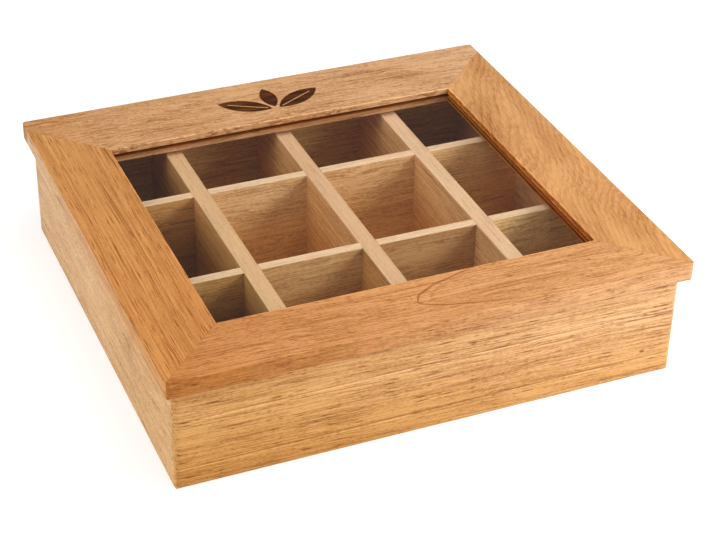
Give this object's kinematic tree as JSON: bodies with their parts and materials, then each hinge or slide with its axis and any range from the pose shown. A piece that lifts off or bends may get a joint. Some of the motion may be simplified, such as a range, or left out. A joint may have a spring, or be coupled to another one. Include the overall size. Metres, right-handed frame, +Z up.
{
  "type": "tea bag organizer box",
  "caption": "Shallow wooden box with a grid of open compartments and a hinged lid that frames a clear pane.",
  "frame": {"origin": "on the underside, below the middle of the lid", "axes": "+X to the right seen from the front, +Y to the back where the hinges are, +Z up"},
  "size_m": [0.335, 0.316, 0.082],
  "materials": {
    "lid_wood": "orange-tan hardwood with dark pores, sanded and satin lacquered",
    "front_wood": "yellow-tan hardwood with strong dark pore lines, satin lacquered",
    "side_wood": "paler pinkish-tan hardwood, satin lacquered",
    "divider_wood": "pale beige hardwood, finely sanded and matt",
    "plywood": "plain plywood, matt",
    "clear_pane": "clear polished pane",
    "brass": "brushed brass",
    "steel": "bright steel wire"
  },
  "bodies": {
    "box": {"front_wall": "front_wood", "back_wall": "front_wood", "left_wall": "side_wood", "right_wall": "side_wood", "base_panel": "plywood", "long_divider_left": "divider_wood", "long_divider_middle": "divider_wood", "long_divider_right": "divider_wood", "cross_divider_back": "divider_wood", "cross_divider_front": "divider_wood", "base_brads": "steel", "hinge_box_leaf_left": "brass", "hinge_box_leaf_right": "brass", "hinge_pin_left": "brass", "hinge_pin_right": "brass", "box_leaf_screws_left": "brass", "box_leaf_screws_right": "brass"},
    "lid": {"lid_front_rail": "lid_wood", "lid_back_rail": "lid_wood", "lid_left_rail": "lid_wood", "lid_right_rail": "lid_wood", "mitre_tongue_front_left": "plywood", "mitre_tongue_front_right": "plywood", "mitre_tongue_back_left": "plywood", "mitre_tongue_back_right": "plywood", "window_pane": "clear_pane", "glazing_bead_front": "lid_wood", "glazing_bead_back": "lid_wood", "glazing_bead_left": "lid_wood", "glazing_bead_right": "lid_wood", "bead_pins": "steel", "hinge_lid_leaf_left": "brass", "hinge_lid_leaf_right": "brass", "lid_leaf_screws_left": "brass", "lid_leaf_screws_right": "brass"}
  },
  "joints": [
    {"name": "lid_hinge", "type": "hinge", "parent": "box", "child": "lid", "pos_m": [0, 0.1523, 0.0689], "axis": [-1, 0, 0], "range_deg": [0, 105]}
  ]
}
